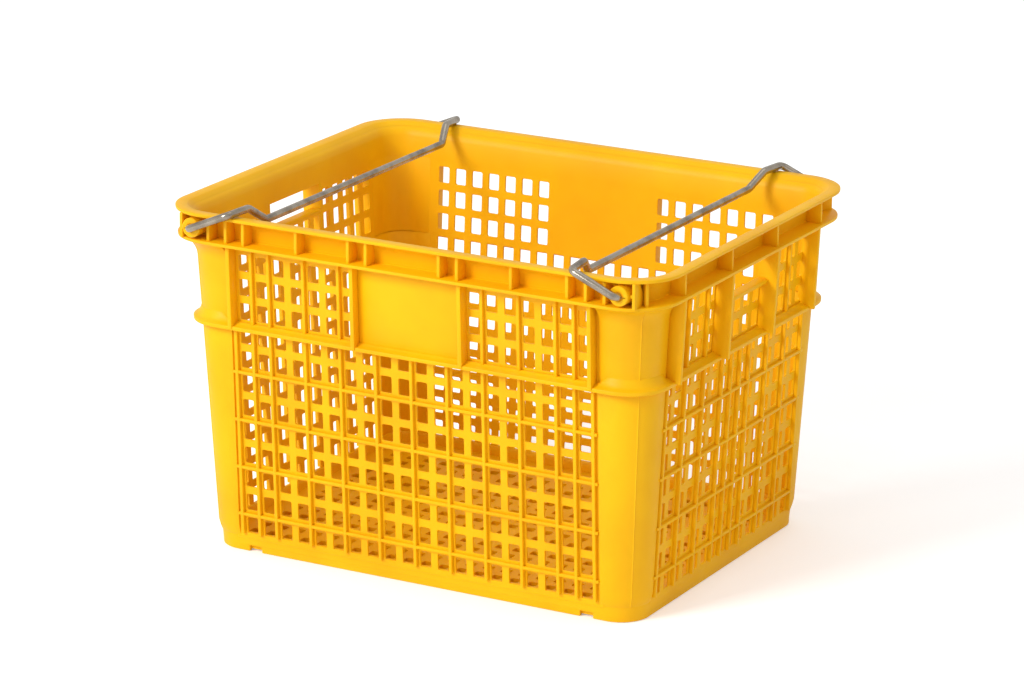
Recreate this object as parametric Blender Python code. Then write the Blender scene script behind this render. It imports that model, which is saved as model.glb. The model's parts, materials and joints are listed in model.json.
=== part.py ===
"""Open-lattice stacking crate with two swing-over steel bails.

The frame is +Z up with the origin under the middle of the crate, on the plane its feet stand on.
X runs along the long side, and the front is the long side at -Y.  All four walls lean outwards by
the mould's draft, so each wall is laid out flat as (u, e, z): u runs along the wall, e is the
distance that a face stands out from the wall's datum plane, and z is the height.
"""
import math

import bmesh
import bpy
from mathutils import Matrix, Vector

MM = 0.001
GAP = 0.3

# Walls, in millimetres.  The datum plane is the outer face of the corner posts.
HALF_X = 218.8
HALF_Y = 168.7
DRAFT = 0.047
CORNER_R = 30.3
INNER_E = -4.2
PLATE_E = -2.0
RIB_E = 1.5
ARC_STEPS = 5
POST_EDGE_X = 184.5
POST_EDGE_Y = 137.5

# Heights of the main levels.
FOOT_TOP = 5.0
BASE_TOP = 13.0
LEDGE_Z = 213.3
SPLIT_Z = 218.2
FLANGE_Z = 292.3
FLANGE_TOP = 295.3
RIM_Z = 317.0
RIM_TOP = 320.0

# Lattice openings.
PITCH = 18.0
HOLE_W = 11.0
ROW_PITCH = 22.7
TOP_ROW_Z = 274.9
HOLE_H = 15.8
LONG_COLUMNS = 20
END_COLUMNS = 15
ROWS_UPPER = 3
ROWS_LOWER = 9

# Bails.
ROD_R = 3.5
ROD_SIDES = 8
PIVOT_X = 213.5
PIVOT_Z = 306.0
ARM_Y = 204.2
BORE_R = 3.615
BORE_SIDES = 20
BOSS_R = 8.9

HDPE = ((0.93, 0.58, 0.02, 1.0), 0.42, 0.0)
STEEL = ((0.52, 0.48, 0.44, 1.0), 0.36, 1.0)


def clear_scene():
    """Remove every object that the scene holds."""
    for item in list(bpy.data.objects):
        bpy.data.objects.remove(item, do_unlink=True)


def finish_object(name, mesh, look, parent=None):
    """Link a mesh as a named object with its own material, and return the object."""
    colour, roughness, metallic = look
    material = bpy.data.materials.new(name + "_finish")
    material.use_nodes = True
    shader = material.node_tree.nodes["Principled BSDF"]
    shader.inputs["Base Color"].default_value = colour
    shader.inputs["Roughness"].default_value = roughness
    shader.inputs["Metallic"].default_value = metallic
    mesh.materials.clear()
    mesh.materials.append(material)
    item = bpy.data.objects.new(name, mesh)
    bpy.context.scene.collection.objects.link(item)
    item.parent = parent
    return item


def mesh_from(bm, name):
    """Turn a bmesh into a mesh whose faces all point outwards."""
    bmesh.ops.recalc_face_normals(bm, faces=bm.faces)
    if bm.calc_volume(signed=True) < 0.0:
        bmesh.ops.reverse_faces(bm, faces=bm.faces)
    mesh = bpy.data.meshes.new(name)
    bm.to_mesh(mesh)
    bm.free()
    return mesh


def combine(mesh, cutter, operation):
    """Unite a mesh with, or cut it by, a second mesh and return the result."""
    target = bpy.data.objects.new("target", mesh)
    tool = bpy.data.objects.new("tool", cutter)
    for item in (target, tool):
        bpy.context.scene.collection.objects.link(item)
    boolean = target.modifiers.new("combine", "BOOLEAN")
    boolean.operation = operation
    boolean.solver = "EXACT"
    boolean.object = tool
    graph = bpy.context.evaluated_depsgraph_get()
    result = bpy.data.meshes.new_from_object(target.evaluated_get(graph))
    bpy.data.objects.remove(target, do_unlink=True)
    bpy.data.objects.remove(tool, do_unlink=True)
    return result


def simplify(bm):
    """Merge coplanar faces and cut what is left into well shaped triangles."""
    bmesh.ops.dissolve_limit(bm, angle_limit=math.radians(0.2), verts=bm.verts, edges=bm.edges)
    bmesh.ops.triangulate(bm, faces=bm.faces, quad_method="BEAUTY", ngon_method="BEAUTY")


def box_mesh(boxes):
    """One mesh of separate boxes, each given as (u0, u1, e0, e1, z0, z1)."""
    bm = bmesh.new()
    for u0, u1, e0, e1, z0, z1 in boxes:
        size = Matrix.Diagonal((u1 - u0, e1 - e0, z1 - z0, 1.0))
        place = Matrix.Translation(((u0 + u1) / 2, (e0 + e1) / 2, (z0 + z1) / 2))
        bmesh.ops.create_cube(bm, size=1.0, matrix=place @ size)
    return mesh_from(bm, "boxes")


# ---------------------------------------------------------------- flat lattice walls

def lattice_mesh(u_lines, z_lines, is_hole, e0, e1):
    """A plate between e0 and e1 whose cells are left out wherever is_hole(column, row) holds."""
    bm = bmesh.new()
    layers = []
    for e in (e0, e1):
        layers.append([[None] * len(z_lines) for _ in u_lines])
    columns = len(u_lines) - 1
    rows = len(z_lines) - 1

    def solid(i, j):
        return 0 <= i < columns and 0 <= j < rows and not is_hole(i, j)

    def corner(layer, i, j):
        if layers[layer][i][j] is None:
            layers[layer][i][j] = bm.verts.new((u_lines[i], (e0, e1)[layer], z_lines[j]))
        return layers[layer][i][j]

    def wall(i0, j0, i1, j1):
        bm.faces.new((corner(0, i0, j0), corner(0, i1, j1), corner(1, i1, j1), corner(1, i0, j0)))

    for i in range(columns):
        for j in range(rows):
            if not solid(i, j):
                continue
            for layer in (0, 1):
                square = [corner(layer, i, j), corner(layer, i + 1, j)]
                square += [corner(layer, i + 1, j + 1), corner(layer, i, j + 1)]
                bm.faces.new(square)
            if not solid(i - 1, j):
                wall(i, j, i, j + 1)
            if not solid(i + 1, j):
                wall(i + 1, j, i + 1, j + 1)
            if not solid(i, j - 1):
                wall(i, j, i + 1, j)
            if not solid(i, j + 1):
                wall(i, j + 1, i + 1, j + 1)
    return mesh_from(bm, "lattice")


def hole_lines(centres, width, start, end):
    """Grid lines for holes of one width on the given centres, between two outer edges."""
    lines = [start]
    for centre in centres:
        lines += [centre - width / 2, centre + width / 2]
    lines.append(end)
    return lines


def column_centres(count):
    """Centres of evenly pitched columns about the middle of a wall."""
    return [(k - (count - 1) / 2) * PITCH for k in range(count)]


def row_centres(first, count):
    """Heights of the middles of a run of rows, from the bottom up; row 0 is the topmost."""
    return [TOP_ROW_Z - ROW_PITCH * row for row in range(first + count - 1, first - 1, -1)]


def place_wall(mesh, side):
    """Lean a flat (u, e, z) mesh by the draft and stand it on one side of the crate."""
    bm = bmesh.new()
    bm.from_mesh(mesh)
    simplify(bm)
    for vert in bm.verts:
        u, e, z = vert.co
        vert.co = wall_point(side, u, e, z)
    return mesh_from(bm, "wall_" + side)


def wall_point(side, u, e, z):
    """World position of the point (u, e, z) of one wall, in metres."""
    half = HALF_Y if side in ("front", "back") else HALF_X
    out = half + e + DRAFT * z
    point = {
        "front": (u, -out, z),
        "back": (-u, out, z),
        "right": (out, u, z),
        "left": (-out, -u, z),
    }[side]
    return Vector(point) * MM


def lower_wall(side):
    """Lattice panel between the base band and the middle ledge, with upright outer ribs."""
    long_side = side in ("front", "back")
    half = (POST_EDGE_X if long_side else POST_EDGE_Y) - GAP / 2
    centres = column_centres(LONG_COLUMNS if long_side else END_COLUMNS)
    u_lines = hole_lines(centres, HOLE_W, -half, half)
    rows = row_centres(ROWS_UPPER, ROWS_LOWER)
    z_lines = hole_lines(rows, HOLE_H, BASE_TOP + GAP, SPLIT_Z - GAP / 2)
    mesh = lattice_mesh(u_lines, z_lines, lambda i, j: i % 2 == 1 and j % 2 == 1, INNER_E, PLATE_E)
    if long_side:
        rib_u = [k * 36.0 for k in range(-4, 5)] + [-180.0, -162.0, 162.0, 180.0]
    else:
        rib_u = [sign * u for u in (9.0, 27.0, 63.0, 99.0, 135.0) for sign in (-1, 1)]
    ribs = [(u - 1.5, u + 1.5, PLATE_E - 1.0, RIB_E, 14.5, LEDGE_Z - 0.4) for u in rib_u]
    mesh = combine(mesh, box_mesh(ribs), "UNION")
    return place_wall(mesh, side)


def upper_long_wall(side):
    """Long upper panel: plain middle, a lattice window on either side, and deep gussets."""
    half = POST_EDGE_X - GAP / 2
    centres = [u for u in column_centres(LONG_COLUMNS) if abs(u) > 54.0]
    u_lines = hole_lines(centres, HOLE_W, -half, half)
    z_lines = hole_lines(row_centres(0, ROWS_UPPER), HOLE_H, SPLIT_Z + GAP / 2, FLANGE_Z - GAP)
    mesh = lattice_mesh(u_lines, z_lines, lambda i, j: i % 2 == 1 and j % 2 == 1, INNER_E, PLATE_E)
    parts = [(-48.0, 48.0, PLATE_E - 1.0, 0.0, 221.0, 291.0)]
    for sign in (-1, 1):
        for u in (72.0, 108.0, 144.0, 162.0):
            parts.append((sign * u - 1.5, sign * u + 1.5, PLATE_E - 1.0, RIB_E, 221.0, 291.0))
        for u in (54.0, 181.0):
            parts.append((sign * u - 2.5, sign * u + 2.5, PLATE_E - 1.0, 9.0, 220.4, 291.7))
    mesh = combine(mesh, box_mesh(parts), "UNION")
    return place_wall(mesh, side)


def upper_end_wall(side):
    """Short upper panel: a hand hole between two cheeks, lattice around it, deep gussets."""
    half = POST_EDGE_Y - GAP / 2
    centres = column_centres(END_COLUMNS)
    u_lines = hole_lines(centres, HOLE_W, -half, half)
    z_lines = hole_lines(row_centres(0, ROWS_UPPER), HOLE_H, SPLIT_Z + GAP / 2, FLANGE_Z - GAP)
    middle = [i for i in range(len(u_lines) - 1) if abs(u_lines[i] + u_lines[i + 1]) < 90.0]

    def is_hole(i, j):
        if i in middle and j >= 5:
            return True
        return i % 2 == 1 and j % 2 == 1

    mesh = lattice_mesh(u_lines, z_lines, is_hole, INNER_E, PLATE_E)
    uprights = []
    for sign in (-1, 1):
        uprights.append((sign * 45.0 - 2.0, sign * 45.0 + 2.0, PLATE_E - 1.0, 13.0, 220.4, 291.7))
        uprights.append((sign * 133.0 - 2.5, sign * 133.0 + 2.5, PLATE_E - 1.0, 12.0, 220.4, 291.7))
        for u in (63.0, 99.0):
            uprights.append((sign * u - 1.5, sign * u + 1.5, PLATE_E - 1.0, RIB_E, 221.0, 291.0))
    lip = [(-44.0, 44.0, PLATE_E - 1.0, 6.0, 261.5, 265.5)]
    mesh = combine(mesh, box_mesh(uprights), "UNION")
    mesh = combine(mesh, box_mesh(lip), "UNION")
    return place_wall(mesh, side)


# ---------------------------------------------------------------- swept rims and corners

def arc_station(corner, turn):
    """A plan station on the corner arc: corner counts from front right, turn is 0 to 1."""
    return ("arc", corner, turn)


def side_station(side, u):
    """A plan station on the straight part of a side, at u along it."""
    return ("side", side, u)


def station_point(station, e, z):
    """World position of the profile point (e, z) at a plan station, in metres."""
    kind, where, amount = station
    if kind == "side":
        return wall_point(where, amount, e, z)
    sign_x = (1, 1, -1, -1)[where]
    sign_y = (-1, 1, 1, -1)[where]
    centre = Vector((HALF_X + DRAFT * z - CORNER_R, HALF_Y + DRAFT * z - CORNER_R))
    angle = math.radians(90.0 * (where - 1 + amount))
    out = (CORNER_R + e) * Vector((math.cos(angle), math.sin(angle)))
    x = sign_x * centre.x + out.x
    y = sign_y * centre.y + out.y
    return Vector((x, y, z)) * MM


def corner_arc(corner):
    """Stations round one corner, counter-clockwise seen from above."""
    return [arc_station(corner, k / ARC_STEPS) for k in range(ARC_STEPS + 1)]


def sweep_mesh(stations, profile_at, closed):
    """Loft profiles along plan stations into a closed ring or a capped strip."""
    bm = bmesh.new()
    loops = []
    for station in stations:
        loops.append([bm.verts.new(station_point(station, e, z)) for e, z in profile_at(station)])
    count = len(loops)
    for k in range(count if closed else count - 1):
        here, there = loops[k], loops[(k + 1) % count]
        for n in range(len(here)):
            m = (n + 1) % len(here)
            bm.faces.new((here[n], here[m], there[m], there[n]))
    if not closed:
        bm.faces.new(loops[0])
        bm.faces.new(loops[-1])
    return mesh_from(bm, "sweep")


def full_ring(profile):
    """A ring of one constant profile right round the crate."""
    stations = [station for corner in range(4) for station in corner_arc(corner)]
    return sweep_mesh(stations, lambda station: profile, True)


def corner_strip(corner, reach_x, reach_y, profile):
    """A strip round one corner that ends at reach_x on the long side and reach_y on the end."""
    sides = ("front", "right", "back", "left")
    before, after = sides[corner], sides[(corner + 1) % 4]
    first = reach_x if before in ("front", "back") else reach_y
    last = reach_x if after in ("front", "back") else reach_y
    stations = [side_station(before, first)] + corner_arc(corner) + [side_station(after, -last)]
    return sweep_mesh(stations, lambda station: profile, False)


def ledge_mesh():
    """Stacking ledge round the middle, its top flared higher at the four corner posts."""
    sides = ("front", "right", "back", "left")
    low, high = 219.5, 231.0

    def profile_at(station):
        top = low if station[0] == "side" and abs(station[2]) < limit[station[1]] else high
        return [(GAP, LEDGE_Z), (8.0, LEDGE_Z), (8.0, LEDGE_Z + 3.5), (GAP, top)]

    limit = {"front": 186.0, "back": 186.0, "right": 139.0, "left": 139.0}
    stations = []
    for corner in range(4):
        before, after = sides[corner], sides[(corner + 1) % 4]
        stations.append(side_station(before, limit[before] - 1.0))
        stations.append(side_station(before, limit[before] + 6.0))
        stations += corner_arc(corner)
        stations.append(side_station(after, -limit[after] - 6.0))
        stations.append(side_station(after, -limit[after] + 1.0))
    return sweep_mesh(stations, profile_at, True)


def channel_mesh():
    """Upright wall between the two top flanges, with the stiffening ribs on its outside."""
    low, high = FLANGE_TOP + GAP, RIM_Z - GAP
    profile = [(-2.2, low), (-2.2, 312.5), (2.2, high), (-1.9, high), (-3.9, 313.5), (-4.9, 310.0)]
    profile.append((-4.9, low))
    mesh = full_ring(profile)
    bm = bmesh.new()
    for side in ("front", "back", "right", "left"):
        places = (36.5, 54.5, 107.5, 162.0, 180.0, 198.0) if side in ("front", "back") else (45.0, 135.0)
        for place in places:
            for sign in (-1, 1):
                add_rib(bm, side_station(side, sign * place), low + 0.3, high - 0.3)
    for corner in range(4):
        add_rib(bm, arc_station(corner, 0.5), low + 0.3, high - 0.3)
    united = bmesh.new()
    united.from_mesh(combine(mesh, mesh_from(bm, "ribs"), "UNION"))
    simplify(united)
    return mesh_from(united, "channel")


def add_rib(bm, station, low, high):
    """Add one upright rib, 3 mm thick, that stands out of the channel wall at a station."""
    inner = station_point(station, -3.4, low)
    outer = station_point(station, 12.0, low)
    outward = (outer - inner).normalized()
    across = Vector((-outward.y, outward.x, 0.0)) * 1.5 * MM
    ends = []
    for z in (low, high):
        lift = Vector((0.0, 0.0, (z - low) * MM))
        corners = (inner - across, outer - across, outer + across, inner + across)
        ends.append([bm.verts.new(point + lift) for point in corners])
    bottom, top = ends
    bm.faces.new(bottom)
    bm.faces.new(top)
    for n in range(4):
        m = (n + 1) % 4
        bm.faces.new((bottom[n], bottom[m], top[m], top[n]))


# ---------------------------------------------------------------- floor, bosses and bails

def floor_mesh():
    """Floor plate with long slots, its outline following the base band."""
    low, high = FOOT_TOP + 0.3, 8.4
    bm = bmesh.new()
    edge = INNER_E - 2.8 - GAP
    stations = [station for corner in range(4) for station in corner_arc(corner)]
    bottom = [bm.verts.new(station_point(station, edge, low)) for station in stations]
    top = [bm.verts.new(station_point(station, edge, high)) for station in stations]
    bm.faces.new(bottom)
    bm.faces.new(top)
    for n in range(len(stations)):
        m = (n + 1) % len(stations)
        bm.faces.new((bottom[n], bottom[m], top[m], top[n]))
    plate = mesh_from(bm, "plate")
    slots = []
    for column in range(-5, 6):
        for row in (-1, 0, 1):
            x, y = column * 36.0, row * 96.0
            slots.append((x - 9.0, x + 9.0, y - 39.0, y + 39.0, 0.0, 20.0))
    cutter = box_mesh([tuple(value * MM for value in slot) for slot in slots])
    return combine(plate, cutter, "DIFFERENCE")


def circle_loop(bm, centre, axis, radius, sides, first):
    """Add a ring of vertices about an axis; first is the direction of vertex 0."""
    second = axis.cross(first)
    loop = []
    for k in range(sides):
        angle = 2.0 * math.pi * (k + 0.5) / sides
        offset = first * (math.cos(angle) * radius) + second * (math.sin(angle) * radius)
        loop.append(bm.verts.new(centre + offset))
    return loop


def boss_mesh(sign_x, sign_y):
    """Bored boss that carries one end of a bail, its bore along Y."""
    bm = bmesh.new()
    axis = Vector((0.0, 1.0, 0.0))
    across = Vector((1.0, 0.0, 0.0))
    wall_y = HALF_Y + DRAFT * PIVOT_Z
    loops = {}
    for name, e in (("back", 0.2), ("face", 16.0)):
        centre = Vector((sign_x * PIVOT_X, sign_y * (wall_y + e), PIVOT_Z)) * MM
        for kind, radius in (("outer", BOSS_R), ("bore", BORE_R)):
            loops[name, kind] = circle_loop(bm, centre, axis, radius * MM, BORE_SIDES, across)
    for n in range(BORE_SIDES):
        m = (n + 1) % BORE_SIDES
        for name in ("back", "face"):
            here, there = loops[name, "outer"], loops[name, "bore"]
            bm.faces.new((here[n], here[m], there[m], there[n]))
        for kind in ("outer", "bore"):
            here, there = loops["back", kind], loops["face", kind]
            bm.faces.new((here[n], here[m], there[m], there[n]))
    return mesh_from(bm, "boss")


def rounded_path(corners, radii, steps):
    """Points of a polyline whose inner corners are replaced by arcs of the given radii."""
    points = [corners[0]]
    for k in range(1, len(corners) - 1):
        back = (corners[k - 1] - corners[k]).normalized()
        ahead = (corners[k + 1] - corners[k]).normalized()
        half = back.angle(ahead) / 2.0
        reach = radii[k - 1] / math.tan(half)
        middle = (back + ahead).normalized()
        centre = corners[k] + middle * (radii[k - 1] / math.sin(half))
        start = corners[k] + back * reach - centre
        end = corners[k] + ahead * reach - centre
        sweep = start.angle(end)
        for n in range(steps + 1):
            part = n / steps
            weight_a = math.sin((1.0 - part) * sweep) / math.sin(sweep)
            weight_b = math.sin(part * sweep) / math.sin(sweep)
            points.append(centre + start * weight_a + end * weight_b)
    points.append(corners[-1])
    return points


def bail_mesh(sign_x):
    """Round steel rod bent into a bail, in metres about its own pivot line."""
    half = [(0.0, 186.0, 0.0), (0.0, ARM_Y, 0.0), (-42.5, ARM_Y, 18.1), (-45.5, 175.0, 18.6)]
    half.append((-52.0, 156.0, 5.0))
    near = [Vector((sign_x * x, -y, z)) * MM for x, y, z in half]
    far = [Vector((point.x, -point.y, point.z)) for point in reversed(near)]
    bends = [4.9 * MM, 6.0 * MM, 7.0 * MM, 7.0 * MM]
    path = rounded_path(near + far, bends + bends[::-1], 3)
    bm = bmesh.new()
    loops = []
    first = Vector((1.0, 0.0, 0.0))
    for k, point in enumerate(path):
        before = path[max(k - 1, 0)]
        after = path[min(k + 1, len(path) - 1)]
        tangent = (after - point).normalized() + (point - before).normalized()
        tangent.normalize()
        first = (first - tangent * first.dot(tangent)).normalized()
        loops.append(circle_loop(bm, point, tangent, ROD_R * MM, ROD_SIDES, first))
    for here, there in zip(loops, loops[1:]):
        for n in range(ROD_SIDES):
            m = (n + 1) % ROD_SIDES
            bm.faces.new((here[n], here[m], there[m], there[n]))
    bm.faces.new(loops[0])
    bm.faces.new(loops[-1])
    return mesh_from(bm, "bail")


def add_bail(name, sign_x):
    """Hang one bail on an empty that lies on its pivot line."""
    pivot = bpy.data.objects.new(name + "_pivot", None)
    pivot.location = (sign_x * PIVOT_X * MM, 0.0, PIVOT_Z * MM)
    bpy.context.scene.collection.objects.link(pivot)
    mesh = bail_mesh(sign_x)
    mesh.shade_smooth()
    mesh.set_sharp_from_angle(angle=math.radians(50.0))
    finish_object(name, mesh, STEEL, pivot)


def build():
    """Model every piece of the crate."""
    clear_scene()
    skirt = INNER_E - 2.8
    low_profile = [(skirt, 0.0), (-2.8, 0.0), (-2.8, FOOT_TOP - GAP), (skirt, FOOT_TOP - GAP)]
    band = [(skirt, FOOT_TOP), (-2.8, FOOT_TOP), (-2.8, BASE_TOP), (skirt, BASE_TOP)]
    post = [(INNER_E, BASE_TOP + GAP), (-2.8, BASE_TOP + GAP), (0.0, 24.0)]
    post += [(0.0, FLANGE_Z - GAP), (INNER_E, FLANGE_Z - GAP)]
    flange = [(INNER_E, FLANGE_Z), (15.9, FLANGE_Z), (15.9, FLANGE_TOP), (INNER_E, FLANGE_TOP)]
    rim = [(-1.6, RIM_Z), (16.2, RIM_Z), (16.2, RIM_TOP), (5.8, RIM_TOP), (0.5, 318.6)]

    finish_object("floor_plate", floor_mesh(), HDPE)
    finish_object("base_band", full_ring(band), HDPE)
    corners = ("front_right", "back_right", "back_left", "front_left")
    for index, corner in enumerate(corners):
        finish_object("foot_" + corner, corner_strip(index, 176.0, 110.15, low_profile), HDPE)
        strip = corner_strip(index, POST_EDGE_X + GAP / 2, POST_EDGE_Y + GAP / 2, post)
        finish_object("post_" + corner, strip, HDPE)
    for side in ("front", "back", "right", "left"):
        reach = 163.0 if side in ("front", "back") else 109.85
        ends = [side_station(side, -reach), side_station(side, reach)]
        skirt_mesh = sweep_mesh(ends, lambda station: low_profile, False)
        finish_object("skirt_" + side, skirt_mesh, HDPE)
        finish_object("wall_lower_" + side, lower_wall(side), HDPE)
    for side in ("front", "back"):
        finish_object("wall_upper_" + side, upper_long_wall(side), HDPE)
    for side in ("right", "left"):
        finish_object("wall_upper_" + side, upper_end_wall(side), HDPE)
    finish_object("ledge_middle", ledge_mesh(), HDPE)
    finish_object("flange_lower", full_ring(flange), HDPE)
    finish_object("channel_wall", channel_mesh(), HDPE)
    finish_object("rim_top", full_ring(rim), HDPE)
    for corner in corners:
        sign_x = 1 if "right" in corner else -1
        sign_y = -1 if "front" in corner else 1
        boss = boss_mesh(sign_x, sign_y)
        finish_object("boss_" + corner, boss, HDPE)
    add_bail("bail_right", 1)
    add_bail("bail_left", -1)


build()
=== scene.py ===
"""Visual model of an open-lattice stacking crate with two swing-over steel bails.

Every piece is modelled in place, in metres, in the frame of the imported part: +Z up, the long side
along X, the front at -Y.  Sizes in the dataclasses are millimetres.
"""
from __future__ import annotations

import json
import logging
import math
from dataclasses import dataclass
from enum import Enum
from typing import Callable, Sequence

import bmesh
import bpy
from mathutils import Matrix, Vector

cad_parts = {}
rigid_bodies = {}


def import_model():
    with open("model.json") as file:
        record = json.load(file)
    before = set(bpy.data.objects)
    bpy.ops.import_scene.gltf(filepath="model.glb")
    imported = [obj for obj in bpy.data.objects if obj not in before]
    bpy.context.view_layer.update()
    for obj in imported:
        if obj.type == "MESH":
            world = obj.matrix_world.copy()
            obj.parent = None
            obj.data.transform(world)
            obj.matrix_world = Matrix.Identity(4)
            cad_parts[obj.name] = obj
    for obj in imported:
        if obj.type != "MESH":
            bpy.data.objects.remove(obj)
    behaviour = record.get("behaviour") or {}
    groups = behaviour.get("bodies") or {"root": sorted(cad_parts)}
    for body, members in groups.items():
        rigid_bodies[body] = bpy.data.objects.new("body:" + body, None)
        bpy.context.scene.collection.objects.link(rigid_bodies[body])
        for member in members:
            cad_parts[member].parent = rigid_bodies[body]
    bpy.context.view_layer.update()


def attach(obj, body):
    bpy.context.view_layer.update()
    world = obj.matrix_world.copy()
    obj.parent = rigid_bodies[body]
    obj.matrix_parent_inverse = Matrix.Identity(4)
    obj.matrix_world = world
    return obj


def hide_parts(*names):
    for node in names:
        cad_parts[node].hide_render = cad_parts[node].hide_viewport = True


MM = 0.001
LOG = logging.getLogger("crate")
BODY = "crate"
CORNERS = ("front_right", "back_right", "back_left", "front_left")


class Side(Enum):
    """The four walls, with the turn about Z that carries the front wall to each."""

    FRONT = 0.0
    RIGHT = 90.0
    BACK = 180.0
    LEFT = 270.0

    @property
    def label(self) -> str:
        """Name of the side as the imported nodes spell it."""
        return self.name.lower()

    @property
    def is_long(self) -> bool:
        """Whether this is one of the two long walls."""
        return self in (Side.FRONT, Side.BACK)


class Slot(Enum):
    """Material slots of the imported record."""

    HDPE = "hdpe"
    STEEL = "steel_rod"


# --------------------------------------------------------------------------- modelling helpers


class Workpiece:
    """One mesh object that is modelled with edit-mode operators."""

    def __init__(self, name: str) -> None:
        """Start an empty mesh object.

        Args:
            name: Name of the object and its mesh.
        """
        bpy.ops.object.select_all(action="DESELECT")
        mesh = bpy.data.meshes.new(name)
        self.item = bpy.data.objects.new(name, mesh)
        bpy.context.scene.collection.objects.link(self.item)
        self.activate()

    def activate(self) -> None:
        """Make this object the only selected one."""
        bpy.ops.object.select_all(action="DESELECT")
        self.item.select_set(True)
        bpy.context.view_layer.objects.active = self.item

    def edit(self) -> None:
        """Enter edit mode with nothing selected."""
        self.activate()
        bpy.ops.object.mode_set(mode="EDIT")
        bpy.ops.mesh.select_mode(type="VERT")
        bpy.ops.mesh.select_all(action="DESELECT")

    def leave(self) -> None:
        """Return to object mode."""
        bpy.ops.object.mode_set(mode="OBJECT")

    def mesh_view(self) -> bmesh.types.BMesh:
        """The edit mesh, for reading places and setting selections."""
        view = bmesh.from_edit_mesh(self.item.data)
        view.verts.ensure_lookup_table()
        return view

    def select(self, keep: Callable[[Vector], bool], faces: bool = False) -> None:
        """Select the vertices, or the faces by centre, whose place passes a test.

        Args:
            keep: Test on a position in metres.
            faces: Test face centres instead of vertices.
        """
        bpy.ops.mesh.select_mode(type="FACE" if faces else "VERT")
        bpy.ops.mesh.select_all(action="DESELECT")
        view = self.mesh_view()
        for part in view.faces if faces else view.verts:
            place = part.calc_center_median() if faces else part.co
            part.select_set(bool(keep(place)))
        view.select_flush(True)
        bmesh.update_edit_mesh(self.item.data)

    def box(self, low: Sequence[float], high: Sequence[float], soft: float = 0.0) -> None:
        """Add a box between two corners, in millimetres, inside edit mode.

        Args:
            low: Lowest corner.
            high: Highest corner.
            soft: Width of the bevel on its edges.
        """
        bpy.ops.mesh.select_all(action="DESELECT")
        bpy.ops.mesh.primitive_cube_add(size=1.0)
        size = [(b - a) * MM for a, b in zip(low, high)]
        middle = [(a + b) / 2 * MM for a, b in zip(low, high)]
        bpy.ops.transform.resize(value=size, center_override=(0, 0, 0))
        bpy.ops.transform.translate(value=middle)
        if soft:
            bpy.ops.mesh.bevel(offset=soft * MM, segments=2, affect="EDGES", clamp_overlap=True)

    def rounded_outline(self, half_x: float, half_y: float, radius: float, z: float, steps: int) -> None:
        """Add a level rounded rectangle of edges about the Z axis, in millimetres.

        Args:
            half_x: Half its length along X.
            half_y: Half its length along Y.
            radius: Corner radius.
            z: Height.
            steps: Segments in each corner.
        """
        bpy.ops.mesh.select_all(action="DESELECT")
        bpy.ops.mesh.primitive_plane_add(size=2.0)
        bpy.ops.transform.resize(value=(half_x * MM, half_y * MM, 1.0), center_override=(0, 0, 0))
        bpy.ops.transform.translate(value=(0.0, 0.0, z * MM))
        bpy.ops.mesh.bevel(
            offset=radius * MM, segments=steps, profile=0.5, affect="VERTICES", clamp_overlap=False
        )
        bpy.ops.mesh.delete(type="ONLY_FACE")

    def bridge(self, here: range, there: range) -> None:
        """Bridge two closed loops that are given by their vertex numbers."""
        bpy.ops.mesh.select_mode(type="EDGE")
        bpy.ops.mesh.select_all(action="DESELECT")
        view = self.mesh_view()
        for edge in view.edges:
            first, second = (vert.index for vert in edge.verts)
            inside = (first in here and second in here) or (first in there and second in there)
            edge.select_set(inside)
        bmesh.update_edit_mesh(self.item.data)
        bpy.ops.mesh.bridge_edge_loops(type="SINGLE", use_merge=False, number_cuts=0)
        bpy.ops.mesh.select_mode(type="VERT")

    def face_outwards(self) -> None:
        """Turn every face outwards, inside edit mode."""
        bpy.ops.mesh.select_all(action="SELECT")
        bpy.ops.mesh.normals_make_consistent(inside=False)
        bpy.ops.mesh.select_all(action="DESELECT")

    def modifier(self, kind: str, **values: object) -> None:
        """Add one modifier with the given settings and apply it."""
        self.activate()
        bpy.ops.object.modifier_add(type=kind)
        modifier = self.item.modifiers[-1]
        for key, value in values.items():
            setattr(modifier, key, value)
        bpy.ops.object.modifier_apply(modifier=modifier.name)

    def soften(self, width: float, segments: int = 2, smooth: float = 40.0) -> None:
        """Bevel the sharp edges by a width in millimetres and shade the piece smooth."""
        if width:
            self.modifier(
                "BEVEL",
                width=width * MM,
                segments=segments,
                limit_method="ANGLE",
                angle_limit=math.radians(32.0),
                use_clamp_overlap=True,
                miter_outer="MITER_ARC",
            )
        self.activate()
        bpy.ops.object.shade_smooth_by_angle(angle=math.radians(smooth))

    def turn_selected(self, degrees: float, axis: str) -> None:
        """Turn the selected vertices about a world axis by the right-hand rule.

        Args:
            degrees: Angle to turn by.
            axis: X, Y or Z.
        """
        wanted = Matrix.Rotation(math.radians(degrees), 3, axis)
        chosen = (vert for vert in self.mesh_view().verts if vert.select)
        probe = max(chosen, key=lambda vert: (wanted @ vert.co - vert.co).length)
        number, goal = probe.index, wanted @ probe.co
        for value in (degrees, -2.0 * degrees):
            bpy.ops.transform.rotate(
                value=math.radians(value), orient_axis=axis, center_override=(0, 0, 0)
            )
            if (self.mesh_view().verts[number].co - goal).length < 1e-5:
                return

    def turn(self, degrees: float, axis: str) -> None:
        """Turn the whole mesh about a world axis by the right-hand rule."""
        self.edit()
        bpy.ops.mesh.select_all(action="SELECT")
        self.turn_selected(degrees, axis)
        self.leave()

    def shift(self, value: Sequence[float]) -> None:
        """Move the whole mesh by a distance in millimetres."""
        self.edit()
        bpy.ops.mesh.select_all(action="SELECT")
        bpy.ops.transform.translate(value=[part * MM for part in value])
        self.leave()

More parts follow.
